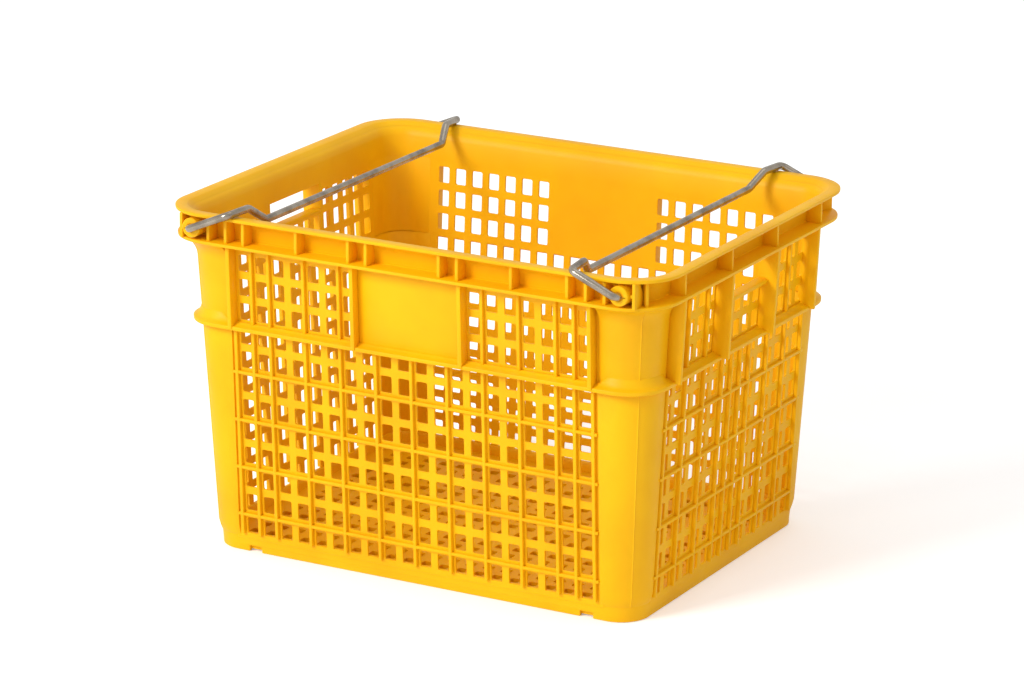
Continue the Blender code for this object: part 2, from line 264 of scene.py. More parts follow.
    def mirror(self, along_x: bool, along_y: bool) -> None:
        """Mirror the whole mesh across the upright middle planes."""
        self.edit()
        bpy.ops.mesh.select_all(action="SELECT")
        scale = (-1.0 if along_x else 1.0, -1.0 if along_y else 1.0, 1.0)
        bpy.ops.transform.resize(value=scale, center_override=(0, 0, 0))
        if along_x != along_y:
            bpy.ops.mesh.flip_normals()
        self.leave()

    def copy(self, name: str) -> "Workpiece":
        """A copy with its own mesh."""
        twin = Workpiece.__new__(Workpiece)
        twin.item = self.item.copy()
        twin.item.data = self.item.data.copy()
        twin.item.name = name
        twin.item.data.name = name
        bpy.context.scene.collection.objects.link(twin.item)
        return twin

    def absorb(self, other: "Workpiece") -> None:
        """Join another piece into this one."""
        bpy.ops.object.select_all(action="DESELECT")
        other.item.select_set(True)
        self.item.select_set(True)
        bpy.context.view_layer.objects.active = self.item
        bpy.ops.object.join()


# --------------------------------------------------------------------------- shared geometry


@dataclass(frozen=True)
class Shell:
    """Datum surfaces that all the moulded parts share."""

    half_x: float = 218.8
    half_y: float = 168.7
    draft: float = 0.047
    corner_radius: float = 30.3
    inner: float = -4.2
    plate: float = -2.0
    base_top: float = 17.0
    ledge: float = 213.3
    flange: float = 292.3
    flange_top: float = 295.3
    rim: float = 317.0
    top: float = 320.0
    corner_steps: int = 14

    @property
    def lean(self) -> float:
        """Lean of the walls in degrees."""
        return math.degrees(math.atan(self.draft))

    def half(self, side: Side, z: float) -> float:
        """Distance of a side's datum plane from the middle at a height."""
        base = self.half_y if side.is_long else self.half_x
        return base + self.draft * z

    def ring(self, piece: Workpiece, profile: Sequence[tuple[float, float]]) -> None:
        """Loft a closed profile of (stand-out, height) points right round the crate.

        Args:
            piece: Piece that takes the faces, already in edit mode.
            profile: Points in order round the section.
        """
        loops: list[range] = []
        before = profile[-1][1]
        for e, z in profile:
            z = z + 0.03 if abs(z - before) < 0.02 else z
            before = z
            start = len(self_verts(piece))
            piece.rounded_outline(
                self.half_x + self.draft * z + e,
                self.half_y + self.draft * z + e,
                self.corner_radius + e,
                z,
                self.corner_steps,
            )
            loops.append(range(start, len(self_verts(piece))))
        for here, there in zip(loops, loops[1:]):
            piece.bridge(here, there)
        piece.bridge(loops[-1], loops[0])
        piece.face_outwards()


def self_verts(piece: Workpiece) -> Sequence[object]:
    """Vertices of a piece that is in edit mode."""
    return piece.mesh_view().verts


# --------------------------------------------------------------------------- finishes


@dataclass(frozen=True)
class MouldedPlastic:
    """Satin coloured polyethylene with faint flow marks and a fine moulded skin."""

    name: str = "hdpe_yellow"
    colour: tuple[float, float, float] = (0.93, 0.50, 0.002)
    deep: tuple[float, float, float] = (0.87, 0.43, 0.002)
    roughness: float = 0.42

    def build(self) -> bpy.types.Material:
        """Build the material's node tree."""
        material, nodes, links, shader = new_material(self.name)
        coordinates = nodes.new("ShaderNodeTexCoord")
        flow = noise(nodes, links, coordinates, scale=14.0, detail=4.0)
        mix = nodes.new("ShaderNodeMix")
        mix.data_type = "RGBA"
        mix.inputs["A"].default_value = (*self.deep, 1.0)
        mix.inputs["B"].default_value = (*self.colour, 1.0)
        ramp = nodes.new("ShaderNodeMapRange")
        ramp.inputs["From Min"].default_value = 0.3
        ramp.inputs["From Max"].default_value = 0.62
        links.new(flow.outputs["Fac"], ramp.inputs["Value"])
        links.new(ramp.outputs["Result"], mix.inputs["Factor"])
        links.new(mix.outputs["Result"], shader.inputs["Base Color"])
        gloss = noise(nodes, links, coordinates, scale=90.0, detail=3.0)
        spread = nodes.new("ShaderNodeMapRange")
        spread.inputs["To Min"].default_value = self.roughness - 0.07
        spread.inputs["To Max"].default_value = self.roughness + 0.1
        links.new(gloss.outputs["Fac"], spread.inputs["Value"])
        links.new(spread.outputs["Result"], shader.inputs["Roughness"])
        skin = noise(nodes, links, coordinates, scale=1400.0, detail=2.0)
        bump = nodes.new("ShaderNodeBump")
        bump.inputs["Strength"].default_value = 0.12
        bump.inputs["Distance"].default_value = 0.0002
        links.new(skin.outputs["Fac"], bump.inputs["Height"])
        links.new(bump.outputs["Normal"], shader.inputs["Normal"])
        shader.inputs["Specular IOR Level"].default_value = 0.18
        shader.inputs["Subsurface Weight"].default_value = 0.05
        shader.inputs["Subsurface Radius"].default_value = (1.0, 0.45, 0.05)
        shader.inputs["Subsurface Scale"].default_value = 0.004
        return material


@dataclass(frozen=True)
class ZincRod:
    """Drawn steel bar with dull zinc plating, faint draw lines and darker blotches."""

    name: str = "steel_zinc"
    colour: tuple[float, float, float] = (0.42, 0.37, 0.30)
    stain: tuple[float, float, float] = (0.22, 0.18, 0.14)
    roughness: float = 0.2

    def build(self) -> bpy.types.Material:
        """Build the material's node tree."""
        material, nodes, links, shader = new_material(self.name)
        coordinates = nodes.new("ShaderNodeTexCoord")
        blotch = noise(nodes, links, coordinates, scale=60.0, detail=5.0)
        mix = nodes.new("ShaderNodeMix")
        mix.data_type = "RGBA"
        mix.inputs["A"].default_value = (*self.stain, 1.0)
        mix.inputs["B"].default_value = (*self.colour, 1.0)
        ramp = nodes.new("ShaderNodeMapRange")
        ramp.inputs["From Min"].default_value = 0.32
        ramp.inputs["From Max"].default_value = 0.58
        links.new(blotch.outputs["Fac"], ramp.inputs["Value"])
        links.new(ramp.outputs["Result"], mix.inputs["Factor"])
        links.new(mix.outputs["Result"], shader.inputs["Base Color"])
        spread = nodes.new("ShaderNodeMapRange")
        spread.inputs["To Min"].default_value = self.roughness + 0.16
        spread.inputs["To Max"].default_value = self.roughness - 0.08
        links.new(blotch.outputs["Fac"], spread.inputs["Value"])
        links.new(spread.outputs["Result"], shader.inputs["Roughness"])
        drawn = noise(nodes, links, coordinates, scale=900.0, detail=2.0)
        bump = nodes.new("ShaderNodeBump")
        bump.inputs["Strength"].default_value = 0.15
        bump.inputs["Distance"].default_value = 0.0001
        links.new(drawn.outputs["Fac"], bump.inputs["Height"])
        links.new(bump.outputs["Normal"], shader.inputs["Normal"])
        shader.inputs["Metallic"].default_value = 0.9
        return material


def new_material(
    name: str,
) -> tuple[bpy.types.Material, bpy.types.bpy_prop_collection, bpy.types.NodeLinks, bpy.types.Node]:
    """A material with its nodes, links and Principled shader."""
    material = bpy.data.materials.new(name)
    material.use_nodes = True
    tree = material.node_tree
    return material, tree.nodes, tree.links, tree.nodes["Principled BSDF"]


def noise(
    nodes: bpy.types.bpy_prop_collection,
    links: bpy.types.NodeLinks,
    coordinates: bpy.types.Node,
    scale: float,
    detail: float,
) -> bpy.types.Node:
    """A noise texture on object coordinates."""
    texture = nodes.new("ShaderNodeTexNoise")
    texture.inputs["Scale"].default_value = scale
    texture.inputs["Detail"].default_value = detail
    links.new(coordinates.outputs["Object"], texture.inputs["Vector"])
    return texture


# --------------------------------------------------------------------------- moulded parts


@dataclass
class Part:
    """Base of every sub-assembly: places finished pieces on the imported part."""

    shell: Shell
    material: bpy.types.Material

    def place(self, piece: Workpiece, nodes: Sequence[str], body: str = BODY, slot: Slot = Slot.HDPE) -> None:
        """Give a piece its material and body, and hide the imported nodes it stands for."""
        piece.item.data.materials.clear()
        piece.item.data.materials.append(self.material)
        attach(piece.item, body)
        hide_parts(*nodes)
        count = sum(len(face.vertices) - 2 for face in piece.item.data.polygons)
        LOG.info("%s: %d triangles, stands for %s", piece.item.name, count, ", ".join(nodes))


@dataclass
class BaseMoulding(Part):
    """Plain band round the bottom, with the feet and skirts that the crate stands on."""

    thickness: float = 4.2
    setback: float = -2.8
    notch_from: float = 163.0
    notch_to: float = 176.0
    notch_height: float = 5.5

    def build(self) -> None:
        """Model the band and cut its four notches."""
        piece = Workpiece("base_moulding")
        piece.edit()
        outer, inner = self.setback, self.setback - self.thickness
        profile = [(outer, 0.0), (outer, 8.0), (outer + 0.3, 14.0), (outer + 0.9, 18.0)]
        profile += [(inner + 0.9, 18.0), (inner, 14.0), (inner, 0.0)]
        self.shell.ring(piece, profile)
        piece.leave()
        cutter = Workpiece("notches")
        cutter.edit()
        for sign in (-1, 1):
            low, high = sorted((sign * self.notch_from, sign * self.notch_to))
            cutter.box((low, -200.0, -5.0), (high, 200.0, self.notch_height))
        cutter.leave()
        piece.modifier("BOOLEAN", operation="DIFFERENCE", solver="EXACT", object=cutter.item)
        bpy.data.objects.remove(cutter.item, do_unlink=True)
        piece.soften(0.5)
        nodes = ["base_band"] + ["foot_" + corner for corner in CORNERS]
        nodes += ["skirt_" + side.label for side in Side]
        self.place(piece, nodes)


@dataclass
class FloorGrid(Part):
    """Floor: a square grid of small openings inside a plain rounded border, with deep bars."""

    low: float = 1.5
    high: float = 8.4
    edge: float = -6.6
    pitch: float = 18.0
    hole: float = 9.5
    hole_corner: float = 1.8
    columns: int = 22
    rows: int = 16

    def build(self) -> None:
        """Model the plate and cut its openings."""
        piece = Workpiece("floor_grid")
        piece.edit()
        for z in (self.low, self.high):
            half_x = self.shell.half_x + self.shell.draft * z + self.edge
            half_y = self.shell.half_y + self.shell.draft * z + self.edge
            piece.rounded_outline(half_x, half_y, self.shell.corner_radius + self.edge, z, 10)
        count = len(self_verts(piece)) // 2
        piece.bridge(range(0, count), range(count, 2 * count))
        for z in (self.low, self.high):
            piece.select(lambda place, z=z: abs(place.z - z * MM) < 1e-5)
            bpy.ops.mesh.edge_face_add()
        piece.face_outwards()
        piece.leave()
        cutter = Workpiece("openings")
        cutter.edit()
        half = self.hole / 2
        cutter.rounded_outline(half, half, self.hole_corner, -4.0, 3)
        bpy.ops.mesh.select_all(action="SELECT")
        bpy.ops.mesh.edge_face_add()
        bpy.ops.mesh.extrude_region_move(TRANSFORM_OT_translate={"value": (0.0, 0.0, 20.0 * MM)})
        cutter.face_outwards()
        cutter.leave()
        half_run = [-(count - 1) / 2 * self.pitch for count in (self.columns, self.rows)]
        cutter.shift((half_run[0], half_run[1], 0.0))
        for count, step in ((self.columns, (self.pitch, 0, 0)), (self.rows, (0, self.pitch, 0))):
            cutter.modifier(
                "ARRAY",
                count=count,
                use_relative_offset=False,
                use_constant_offset=True,
                constant_offset_displace=[part * MM for part in step],
            )
        piece.modifier("BOOLEAN", operation="DIFFERENCE", solver="EXACT", object=cutter.item)
        bpy.data.objects.remove(cutter.item, do_unlink=True)
        piece.soften(0.0)
        self.place(piece, ["floor_plate"])


@dataclass
class LatticeWall(Part):
    """One drafted wall: a thin plate pierced by the lattice, with ribs and deep gussets outside."""

    pitch: float = 18.0
    row_pitch: float = 22.7
    hole_width: float = 11.0
    hole_height: float = 15.6
    hole_corner: float = 1.6
    top_row: float = 274.9
    rows: int = 12
    rib_front: float = 1.5
    rib_width: float = 3.0
    level_ribs: tuple[float, ...] = (172.6, 127.3, 82.0, 36.7)
    columns: int = 20
    panel_columns: int = 3
    panel_rows: int = 3
    edge: float = 187.4
    ribs: tuple[float, ...] = (0.0, 36.0, 72.0, 108.0, 144.0, 162.0, 180.0)
    upper_ribs: tuple[float, ...] = (72.0, 108.0, 144.0, 162.0)
    gussets: tuple[float, ...] = (54.0, 181.0)
    gusset_front: float = 9.0
    gusset_width: float = 4.0
    sides: tuple[Side, Side] = (Side.FRONT, Side.BACK)

    def cell(self) -> Workpiece:
        """One lattice cell, a rectangle round a rounded hole, at the bottom left of the wall."""
        piece = Workpiece("lattice_cell")
        piece.edit()
        bpy.ops.mesh.primitive_plane_add(size=2.0)
        half = (self.pitch / 2 * MM, self.row_pitch / 2 * MM, 1.0)
        bpy.ops.transform.resize(value=half, center_override=(0, 0, 0))
        bpy.ops.mesh.delete(type="ONLY_FACE")
        piece.rounded_outline(self.hole_width / 2, self.hole_height / 2, self.hole_corner, 0.0, 3)
        total = len(self_verts(piece))
        piece.bridge(range(0, 4), range(4, total))
        bpy.ops.mesh.select_all(action="SELECT")
        bpy.ops.transform.rotate(value=math.radians(-90.0), orient_axis="X", center_override=(0, 0, 0))
        column = -(self.columns - 1) / 2 * self.pitch
        row = self.top_row - (self.rows - 1) * self.row_pitch
        bpy.ops.transform.translate(value=(column * MM, -self.shell.plate * MM, row * MM))
        piece.leave()
        return piece

    def plate(self) -> Workpiece:
        """The pierced plate, standing flat in the XZ plane with its outside towards -Y."""
        piece = self.cell()
        steps = ((self.columns, (self.pitch, 0.0, 0.0)), (self.rows, (0.0, 0.0, self.row_pitch)))
        for count, step in steps:
            piece.modifier(
                "ARRAY",
                count=count,
                use_relative_offset=False,
                use_constant_offset=True,
                constant_offset_displace=[part * MM for part in step],
                use_merge_vertices=True,
                merge_threshold=0.00002,
            )
        self.open_up(piece)
        self.widen(piece)
        thickness = (self.shell.plate - self.shell.inner) * MM
        piece.edit()
        bpy.ops.mesh.select_all(action="SELECT")
        bpy.ops.mesh.normals_make_consistent(inside=False)
        piece.leave()
        facing = sum(face.normal.y * face.area for face in piece.item.data.polygons)
        piece.modifier("SOLIDIFY", thickness=thickness, offset=1.0 if facing > 0.0 else -1.0)
        piece.edit()
        piece.face_outwards()
        piece.leave()
        piece.soften(0.3, segments=1)
        return piece

    def open_up(self, piece: Workpiece) -> None:
        """Close the lattice behind the plain panel in the middle of the upper half."""
        low = self.top_row - (self.panel_rows - 0.5) * self.row_pitch
        half = self.panel_columns * self.pitch
        piece.edit()
        piece.select(lambda p: abs(p.x) < half * MM and p.z > low * MM, faces=True)
        bpy.ops.mesh.delete(type="FACE")
        piece.select(lambda p: abs(p.x) < (half + 0.01) * MM and p.z > (low - 0.01) * MM)
        bpy.ops.mesh.edge_face_add()
        piece.leave()

    def widen(self, piece: Workpiece) -> None:
        """Run the plate out to the posts, up to the flange and down to the band."""
        half = self.columns / 2 * self.pitch
        top = self.top_row + self.row_pitch / 2
        bottom = self.top_row - (self.rows - 0.5) * self.row_pitch
        reach = self.edge - half
        moves = (
            (lambda p: p.x > (half - 0.01) * MM, (reach, 0.0, 0.0)),
            (lambda p: p.x < -(half - 0.01) * MM, (-reach, 0.0, 0.0)),
            (lambda p: p.z > (top - 0.01) * MM, (0.0, 0.0, self.shell.flange + 0.8 - top)),
            (lambda p: p.z < (bottom + 0.01) * MM, (0.0, 0.0, 12.4 - bottom)),
        )
        for keep, move in moves:
            piece.edit()
            piece.select(keep)
            bpy.ops.mesh.extrude_region_move(
                TRANSFORM_OT_translate={"value": [part * MM for part in move]}
            )
            piece.leave()

    def bars(self) -> Workpiece:
        """Ribs, gussets and panels on the outside, flat in the wall's own plane."""
        piece = Workpiece("bars")
        piece.edit()
        half = self.rib_width / 2
        back = -self.shell.plate + 1.0
        for place in both_ways(self.ribs):
            low = (place - half, -self.rib_front, self.shell.base_top + 0.6)
            piece.box(low, (place + half, back, self.shell.ledge + 1.0), 0.5)
        reach = self.columns / 2 * self.pitch + 4.0
        for z in self.level_ribs:
            piece.box((-reach, -self.rib_front + 0.2, z - 1.4), (reach, back, z + 1.4), 0.5)
        for place in both_ways(self.upper_ribs):
            low = (place - half, -self.rib_front, self.shell.ledge + 4.0)
            piece.box(low, (place + half, back, self.shell.flange + 0.4), 0.5)
        half = self.gusset_width / 2
        for place in both_ways(self.gussets):
            low = (place - half, -self.gusset_front, self.shell.ledge + 2.0)
            piece.box(low, (place + half, back, self.shell.flange + 0.4), 0.6)
        self.extras(piece, back)
        piece.leave()
        return piece

    def extras(self, piece: Workpiece, back: float) -> None:
        """Plain panel in the middle of the upper half."""
        low = (-52.0, 0.0, self.shell.ledge + 1.5)
        piece.box(low, (52.0, back, self.shell.flange + 0.6), 0.5)

    def build(self) -> None:
        """Model one wall, lean it, and stand a copy on each of its two sides."""
        wall = self.plate()
        wall.absorb(self.bars())
        wall.activate()
        bpy.ops.object.shade_smooth_by_angle(angle=math.radians(40.0))
        stand_wall(wall, self.shell, self.sides[0])
        first, second = self.sides
        twin = wall.copy("wall_" + second.label)
        twin.turn(180.0, "Z")
        wall.item.name = "wall_" + first.label
        for piece, side in ((wall, first), (twin, second)):
            self.place(piece, ["wall_lower_" + side.label, "wall_upper_" + side.label])


@dataclass
class EndWall(LatticeWall):
    """An end wall: the lattice opens into a hand hole between two deep cheeks."""

    columns: int = 15
    edge: float = 139.4
    ribs: tuple[float, ...] = (9.0, 27.0, 63.0, 99.0, 134.0)
    upper_ribs: tuple[float, ...] = (63.0, 99.0)
    gussets: tuple[float, ...] = (133.0,)
    gusset_front: float = 12.5
    sides: tuple[Side, Side] = (Side.RIGHT, Side.LEFT)
    hole_half: float = 45.0
    cheek_front: float = 14.5
    lip_front: float = 6.0
    lip_z: float = 263.5

    def open_up(self, piece: Workpiece) -> None:
        """Open the hand hole by removing the cells between the cheeks."""
        low = self.top_row - self.row_pitch / 2
        half = self.hole_half
        piece.edit()
        piece.select(lambda p: abs(p.x) < half * MM and p.z > low * MM, faces=True)
        bpy.ops.mesh.delete(type="FACE")
        piece.leave()

    def extras(self, piece: Workpiece, back: float) -> None:
        """Cheeks beside the hand hole and the lip under it."""
        inner = -self.shell.inner + 0.15
        for sign in (-1, 1):
            place = sign * self.hole_half
            low = (place - 2.0, -self.cheek_front, self.shell.ledge + 2.0)
            piece.box(low, (place + 2.0, inner, self.shell.flange + 0.4), 0.7)
        low = (-self.hole_half, -self.lip_front, self.lip_z - 2.0)
        piece.box(low, (self.hole_half, inner, self.lip_z + 2.0), 0.9)


def both_ways(places: Sequence[float]) -> list[float]:
    """Each place and its mirror image, with zero kept once."""
    return sorted({sign * place for place in places for sign in (-1, 1)})


def stand_wall(piece: Workpiece, shell: Shell, side: Side) -> None:
    """Lean a flat wall outwards, move it to its datum plane and turn it to its side."""
    piece.turn(shell.lean, "X")
    piece.shift((0.0, -shell.half(side, 0.0), 0.0))
    if side.value:
        piece.turn(side.value, "Z")


@dataclass
class CornerPosts(Part):
    """Four plain rounded posts, with a cove under the flange and a parting line down each."""

    lower_edge: tuple[float, float] = (184.5, 137.5)
    upper_edge: tuple[float, float] = (186.6, 138.6)
    cove: float = 18.0
    cove_start: float = 274.6
    cove_steps: int = 6
    cove_step: float = 12.5
    line_half: float = 0.5
    line_height: float = 0.4

    def section(
        self, name: str, profile: Sequence[tuple[float, float]], edge: tuple[float, float]
    ) -> Workpiece:
        """One post's length of shell, cut out of a full ring at its two edges.

        Args:
            name: Name of the piece.
            profile: Closed section of (stand-out, height) points.
            edge: Where it ends on the long side and on the end, from the middle.

        Returns:
            The cut piece, closed and out of edit mode.
        """
        piece = Workpiece(name)
        piece.edit()
        self.shell.ring(piece, profile)
        cuts = (((edge[0] * MM, 0.0, 0.0), (1.0, 0.0, 0.0)), ((0.0, -edge[1] * MM, 0.0), (0.0, -1.0, 0.0)))
        for place, normal in cuts:
            bpy.ops.mesh.select_all(action="SELECT")
            bpy.ops.mesh.bisect(
                plane_co=place, plane_no=normal, use_fill=True, clear_inner=True, threshold=1e-6
            )
        piece.face_outwards()
        piece.leave()
        return piece

    def build(self) -> None:
        """Model the front right post and mirror it to the other corners."""
        shell = self.shell
        lower = [(-2.4, 14.0), (-1.2, 18.0), (0.0, 24.0), (0.0, 216.0)]
        inner = shell.inner - 0.06
        lower += [(inner, 216.0), (inner, 14.0)]
        post = self.section("corner_post_front_right", lower, self.lower_edge)
        upper = [(0.0, 215.0), (0.0, self.cove_start)]
        for step in range(1, self.cove_steps + 1):
            angle = math.radians(step * self.cove_step)
            upper.append((self.cove * (1 - math.cos(angle)), self.cove_start + self.cove * math.sin(angle)))
        upper += [(14.6, shell.flange + 0.5), (inner, shell.flange + 0.5), (inner, 215.0)]
        post.absorb(self.section("post_upper", upper, self.upper_edge))
        self.crease(post)
        post.soften(0.4)
        for index, corner in enumerate(CORNERS):
            piece = post if index == 0 else post.copy("corner_post_" + corner)
            if index:
                piece.mirror("left" in corner, "back" in corner)
            self.place(piece, ["post_" + corner])

    def crease(self, piece: Workpiece) -> None:
        """Raise a fine parting line half way round the corner."""
        shell = self.shell
        piece.edit()

        def on_line(place: Vector) -> bool:
            """Whether a point lies on the outer surface half way round the corner."""
            x = place.x / MM - (shell.half_x + shell.draft * place.z / MM - shell.corner_radius)
            y = -place.y / MM - (shell.half_y + shell.draft * place.z / MM - shell.corner_radius)
            return abs(x - y) < 0.3 and math.hypot(x, y) > shell.corner_radius - 2.6

        piece.select(on_line)
        bpy.ops.mesh.bevel(offset=self.line_half * MM, offset_type="OFFSET", segments=2, affect="EDGES")
        piece.select(on_line)
        step = self.line_height * MM
        bpy.ops.transform.translate(value=(step, -step, 0.0))
        piece.leave()


@dataclass
class Ledge(Part):
    """Stacking ledge round the middle, flared up into a cove on the four posts."""

    front: float = 8.0
    height: float = 3.5
    cove: tuple[tuple[float, float, float], ...] = (
        (5.0, 217.4, 0.10),
        (3.0, 218.2, 0.30),
        (1.4, 219.0, 0.62),
        (0.2, 219.8, 1.0),
    )
    flare: float = 7.0
    flare_run: float = 9.0
    limit: tuple[float, float] = (184.8, 137.8)

    def build(self) -> None:
        """Model the ledge, add cuts at the posts and raise its top there."""
        shell = self.shell
        low = shell.ledge
        piece = Workpiece("ledge")
        piece.edit()
        profile = [(-2.6, low), (self.front, low), (self.front, low + self.height)]
        profile += [(e, z) for e, z, _ in self.cove] + [(-2.6, self.cove[-1][1])]
        shell.ring(piece, profile)
        for axis, limit in enumerate(self.limit):
            for sign in (-1, 1):
                for extra in (0.0, self.flare_run):
                    place = [0.0, 0.0, 0.0]
                    normal = [0.0, 0.0, 0.0]
                    place[axis] = sign * (limit + extra) * MM
                    normal[axis] = 1.0
                    bpy.ops.mesh.select_all(action="SELECT")
                    bpy.ops.mesh.bisect(plane_co=place, plane_no=normal, threshold=1e-6)
        inside = [limit + self.flare_run - 0.1 for limit in self.limit]
        for _, height, share in self.cove:
            piece.select(
                lambda p, height=height: abs(p.z - height * MM) < 2e-5
                and abs(p.x) > inside[0] * MM
                and abs(p.y) > inside[1] * MM
            )
            bpy.ops.transform.translate(value=(0.0, 0.0, self.flare * share * MM))
        piece.leave()
        piece.soften(0.5)
        self.place(piece, ["ledge_middle"])


@dataclass
class RimFlanges(Part):
    """The two flanges of the rim and the ribbed channel between them."""

    lower_front: float = 15.9
    upper_front: float = 16.2
    rib_front: float = 12.0
    rib_back: float = 2.8
    rib_bite: float = 0.4
    rib_edge: float = 0.45
    rib_draw: float = 6.2
    rib_width: float = 3.0
    long_ribs: tuple[float, ...] = (36.5, 54.5, 107.5, 162.0, 180.0, 198.0, 226.0)
    end_ribs: tuple[float, ...] = (45.0, 135.0)
    wall_e: float = -2.2
    bend: float = 306.5
    outside: tuple[tuple[float, float], ...] = ((-0.4, 311.2), (2.2, 314.4), (6.0, 317.2))
    shared: int = 3
    inside: tuple[tuple[float, float], ...] = (
        (-4.35, 308.0),
        (-2.4, 312.9),
        (0.6, 316.4),
        (4.9, 319.5),
        (5.8, 320.0),
    )

    def build(self) -> None:
        """Model the lower flange, the channel wall with its ribs, and the top flange."""
        self.flange()
        self.channel()
        self.rim()

    def flange(self) -> None:
        """Lower flange, with a small round where it meets the channel."""
        shell = self.shell
        piece = Workpiece("flange_lower_visual")
        piece.edit()
        low, high, front = shell.flange, shell.flange_top, self.lower_front
        profile = [(shell.inner, low), (front, low), (front, high), (-1.4, high), (-2.2, high + 0.9)]
        profile += [(shell.inner, high + 0.9)]
        shell.ring(piece, profile)
        piece.leave()
        piece.soften(0.6)
        self.place(piece, ["flange_lower"])

    def channel(self) -> None:
        """Upright wall of the channel and the ribs that stand out of it."""
        shell = self.shell
        piece = Workpiece("channel")
        piece.edit()
        low = shell.flange_top - 0.6
        liner = shell.flange - 3.0
        profile = [(-3.4, liner), (self.wall_e, low), (self.wall_e, self.bend), *self.outside]
        profile += [*reversed(self.inside[: self.shared]), (self.inside[0][0], liner)]
        shell.ring(piece, profile)
        piece.leave()
        ribs = Workpiece("channel_ribs")
        ribs.edit()
        for side in Side:
            for place in both_ways(self.long_ribs if side.is_long else self.end_ribs):
                self.rib(ribs, side, place)
        for sign_x in (-1, 1):
            for sign_y in (-1, 1):
                self.corner_rib(ribs, sign_x, sign_y)
        ribs.leave()
        piece.absorb(ribs)
        piece.soften(0.0)
        self.place(piece, ["channel_wall"])

    def rib(self, piece: Workpiece, side: Side, place: float) -> None:
        """One upright rib on a side, at a distance along it."""
        shell = self.shell
        z = (shell.flange_top + shell.rim) / 2
        half = self.rib_width / 2
        low = (place - half, -self.rib_front, shell.flange_top - self.rib_bite)
        piece.box(low, (place + half, self.rib_back, shell.rim + self.rib_bite))
        self.clear_slope(piece)
        bpy.ops.transform.translate(value=(0.0, -shell.half(side, z) * MM, 0.0))
        if side.value:
            piece.turn_selected(side.value, "Z")

    def clear_slope(self, piece: Workpiece) -> None:
        """Draw the top back edge of the rib just added forward, clear of the sloping inside."""
        bpy.ops.mesh.bisect(
            plane_co=(0.0, 0.0, self.bend * MM), plane_no=(0.0, 0.0, 1.0), threshold=1e-6
        )
        bpy.ops.mesh.select_linked(delimit=set())
        view = piece.mesh_view()
        added = [vert for vert in view.verts if vert.select]
        height = max(vert.co.z for vert in added) - 0.1 * MM
        for vert in added:
            vert.select_set(vert.co.z > height and vert.co.y > 0.0)
        bmesh.update_edit_mesh(piece.item.data)
        bpy.ops.transform.translate(value=(0.0, -self.rib_draw * MM, 0.0))
        bpy.ops.mesh.select_linked(delimit=set())
        bpy.ops.mesh.bevel(
            offset=self.rib_edge * MM, segments=2, affect="EDGES", clamp_overlap=True
        )

    def corner_rib(self, piece: Workpiece, sign_x: int, sign_y: int) -> None:
        """One upright rib that stands radially out of a corner."""
        shell = self.shell
        z = (shell.flange_top + shell.rim) / 2
        half = self.rib_width / 2
        radius = shell.corner_radius
        low = (-half, -self.rib_front, shell.flange_top - self.rib_bite)
        piece.box(low, (half, self.rib_back, shell.rim + self.rib_bite))
        self.clear_slope(piece)
        bpy.ops.transform.translate(value=(0.0, -radius * MM, 0.0))
        piece.turn_selected(90.0 + math.degrees(math.atan2(sign_y, sign_x)), "Z")
        centre_x = sign_x * (shell.half_x + shell.draft * z - radius)
        centre_y = sign_y * (shell.half_y + shell.draft * z - radius)
        bpy.ops.transform.translate(value=(centre_x * MM, centre_y * MM, 0.0))

    def rim(self) -> None:
        """Top flange, which slopes down into the inside of the crate."""
        shell = self.shell
        piece = Workpiece("rim")
        piece.edit()
        inside = self.inside[self.shared - 1 :]
        front = self.upper_front
        profile = [(inside[0][0] + 1.2, shell.rim), (front, shell.rim), (front, shell.top)]
        profile += list(reversed(inside))
        shell.ring(piece, profile)
        piece.leave()
        piece.soften(0.6)
        self.place(piece, ["rim_top"])


@dataclass
class Bosses(Part):
    """Bored bosses in the channel that carry the ends of the bails."""

    pivot_x: float = 213.5
    pivot_z: float = 306.0
    radius: float = 8.9
    bore: float = 3.7
    outer_chamfer: float = 0.8
    bore_chamfer: float = 0.9
    back: float = -1.5
    front: float = 16.0
    web_to: float = 226.0
    web_half: float = 1.4

    def build(self) -> None:
        """Model the front right boss and mirror it to the other corners."""
        wall = self.shell.half_y + self.shell.draft * self.pivot_z
        piece = Workpiece("boss_visual_front_right")
        piece.edit()
        outer, lip = self.outer_chamfer, self.bore_chamfer
        profile = ((self.bore, self.back), (self.radius, self.back), (self.radius, self.front - outer))
        profile += ((self.radius - outer, self.front), (self.bore + lip, self.front))
        profile += ((self.bore, self.front - lip),)
        loops: list[range] = []
        for radius, out in profile:
            start = len(self_verts(piece))
            bpy.ops.mesh.select_all(action="DESELECT")
            bpy.ops.mesh.primitive_circle_add(vertices=40, radius=radius * MM, fill_type="NOTHING")
            bpy.ops.transform.rotate(value=math.radians(90.0), orient_axis="X", center_override=(0, 0, 0))
            place = (self.pivot_x * MM, -(wall + out) * MM, self.pivot_z * MM)
            bpy.ops.transform.translate(value=place)
            loops.append(range(start, len(self_verts(piece))))
        for here, there in zip(loops, loops[1:] + loops[:1]):
            piece.bridge(here, there)
        piece.face_outwards()
        low = (self.pivot_x + self.radius - 1.0, -(wall + 12.0), self.pivot_z - self.web_half)
        piece.box(low, (self.web_to, -(wall - 2.6), self.pivot_z + self.web_half), 0.4)
        piece.leave()
        piece.soften(0.0)
        for index, corner in enumerate(CORNERS):
            boss = piece if index == 0 else piece.copy("boss_visual_" + corner)
            if index:
                boss.mirror("left" in corner, "back" in corner)
            self.place(boss, ["boss_" + corner])


